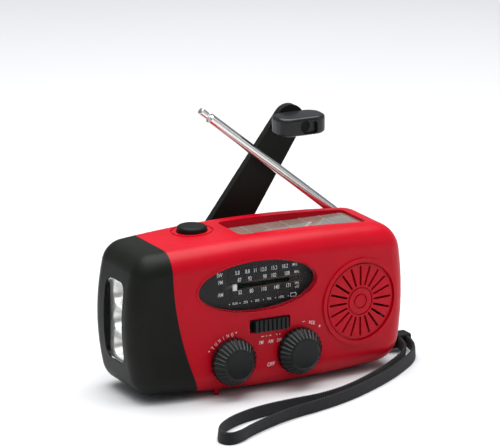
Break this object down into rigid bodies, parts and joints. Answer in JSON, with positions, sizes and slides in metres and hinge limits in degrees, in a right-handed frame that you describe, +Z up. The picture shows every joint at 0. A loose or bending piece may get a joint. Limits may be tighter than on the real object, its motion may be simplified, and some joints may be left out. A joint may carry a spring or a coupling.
{
  "type": "emergency radio",
  "caption": "Hand-cranked pocket radio with a curved shell, lamp end cap, solar top, round speaker grille, tuning dial, telescopic antenna, folding crank and wrist strap.",
  "frame": {"origin": "centre of the radio's footprint box, on the surface that its feet stand on, measured without the strap and its clip", "axes": "+X along the length from the lamp end to the speaker end, +Y to the back, +Z up"},
  "size_m": [0.139, 0.1057, 0.1105],
  "materials": {
    "red_shell": "gloss",
    "black_shell": "satin",
    "clear_plastic": "clear",
    "reflector": "polished",
    "circuit_board": "satin",
    "solar_glass": "gloss",
    "dial_face": "satin",
    "white_plastic": "satin",
    "steel": "satin",
    "speaker_paper": "matt",
    "ferrite": "matt",
    "copper": "satin",
    "cell_sleeve": "gloss",
    "brass": "satin",
    "grip_plastic": "satin sheen",
    "chrome": "polished",
    "port_rubber": "matt",
    "strap_fabric": "woven"
  },
  "bodies": {
    "housing": {"front_shell": "red_shell", "rear_cover": "red_shell", "lamp_cap": "black_shell", "lamp_lens": "clear_plastic", "lamp_reflector": "reflector", "lamp_leds": "clear_plastic", "lamp_board": "circuit_board", "lamp_switch": "black_shell", "solar_panel": "solar_glass", "dial_window": "clear_plastic", "dial_plate": "dial_face", "tuning_capacitor": "white_plastic", "volume_control": "steel", "band_switch_body": "steel", "speaker_frame": "steel", "speaker_cone": "speaker_paper", "speaker_magnet": "ferrite", "main_board": "circuit_board", "board_screws": "steel", "ferrite_rod": "ferrite", "ferrite_coil": "copper", "ferrite_holders": "white_plastic", "battery_cell": "cell_sleeve", "battery_cradles": "black_shell", "crank_bushing": "brass", "idler_pin": "steel", "generator": "steel", "gear_plate": "steel", "antenna_bracket": "chrome", "antenna_rivet": "chrome", "usb_socket": "steel", "micro_socket": "steel", "port_board": "circuit_board", "case_screws": "steel", "strap_clip": "black_shell", "wrist_strap": "strap_fabric"},
    "lamp_button": {"lamp_button": "black_shell"},
    "tuning": {"tuning_knob": "black_shell", "tuning_pinion": "white_plastic"},
    "pointer": {"dial_pointer": "white_plastic"},
    "volume": {"volume_knob": "black_shell"},
    "band_switch": {"band_switch_cap": "black_shell"},
    "crank": {"crank_hub": "black_shell", "crank_shaft": "steel", "crank_gear": "white_plastic", "fold_pin": "steel"},
    "crank_arm": {"crank_arm": "black_shell", "grip_pin": "steel"},
    "grip": {"crank_grip": "grip_plastic"},
    "idler": {"idler_gear": "white_plastic"},
    "generator_rotor": {"generator_pinion": "brass"},
    "antenna_base": {"antenna_base_tube": "chrome"},
    "antenna_second": {"antenna_second_tube": "chrome"},
    "antenna_third": {"antenna_third_tube": "chrome"},
    "antenna_tip": {"antenna_tip_rod": "chrome"},
    "port_cover": {"port_cover": "port_rubber"}
  },
  "joints": [
    {"name": "lamp_button_press", "type": "slide", "parent": "housing", "child": "lamp_button", "axis": [0, 0, -1], "range_m": [0, 0.0011], "stiffness_N_per_m": 300, "springref_m": -0.0008},
    {"name": "tuning_turn", "type": "hinge", "parent": "housing", "child": "tuning", "pos_m": [-0.0207, -0.025, 0.0155], "axis": [0, 1, 0], "range_deg": [-13, 255]},
    {"name": "pointer_slide", "type": "slide", "parent": "housing", "child": "pointer", "axis": [1, 0, 0], "range_m": [-0.00125, 0.0241]},
    {"name": "volume_turn", "type": "hinge", "parent": "housing", "child": "volume", "pos_m": [0.0094, -0.025, 0.0159], "axis": [0, 1, 0], "range_deg": [-30, 250]},
    {"name": "band_switch_slide", "type": "slide", "parent": "housing", "child": "band_switch", "axis": [1, 0, 0], "range_m": [-0.0015, 0.0015]},
    {"name": "crank_turn", "type": "hinge", "parent": "housing", "child": "crank", "pos_m": [-0.0151, 0.021, 0.0338], "axis": [0, -1, 0], "range_deg": [-25, 15]},
    {"name": "crank_fold", "type": "hinge", "parent": "crank", "child": "crank_arm", "pos_m": [-0.0151, 0.0265, 0.0338], "axis": [-0.8221, 0, 0.5693], "range_deg": [0, 150]},
    {"name": "grip_spin", "type": "hinge", "parent": "crank_arm", "child": "grip", "pos_m": [0.03044, 0.017, 0.09957], "axis": [0, 1, 0], "continuous": true},
    {"name": "idler_turn", "type": "hinge", "parent": "housing", "child": "idler", "pos_m": [0.00294, 0.014, 0.04037], "axis": [0, -1, 0], "continuous": true},
    {"name": "generator_turn", "type": "hinge", "parent": "housing", "child": "generator_rotor", "pos_m": [0.01712, 0.012, 0.03787], "axis": [0, -1, 0], "continuous": true},
    {"name": "antenna_fold", "type": "hinge", "parent": "housing", "child": "antenna_base", "pos_m": [0.05, 0.0195, 0.0583], "axis": [0, 1, 0], "range_deg": [-38.75, 6.25]},
    {"name": "antenna_second_slide", "type": "slide", "parent": "antenna_base", "child": "antenna_second", "axis": [-0.7799, 0, 0.6259], "range_m": [0, 0.062]},
    {"name": "antenna_third_slide", "type": "slide", "parent": "antenna_second", "child": "antenna_third", "axis": [-0.7799, 0, 0.6259], "range_m": [0, 0.062]},
    {"name": "antenna_tip_slide", "type": "slide", "parent": "antenna_third", "child": "antenna_tip", "axis": [-0.7799, 0, 0.6259], "range_m": [0, 0.062]},
    {"name": "port_cover_swing", "type": "hinge", "parent": "housing", "child": "port_cover", "pos_m": [-0.0255, 0.0229, 0.0092], "axis": [-1, 0, 0], "range_deg": [0, 110]}
  ],
  "couplings": [
    {"joint": "pointer_slide", "follows": "tuning_turn", "m_per_rad": 0.0054},
    {"joint": "idler_turn", "follows": "crank_turn", "ratio": -3},
    {"joint": "generator_turn", "follows": "crank_turn", "ratio": 9}
  ]
}
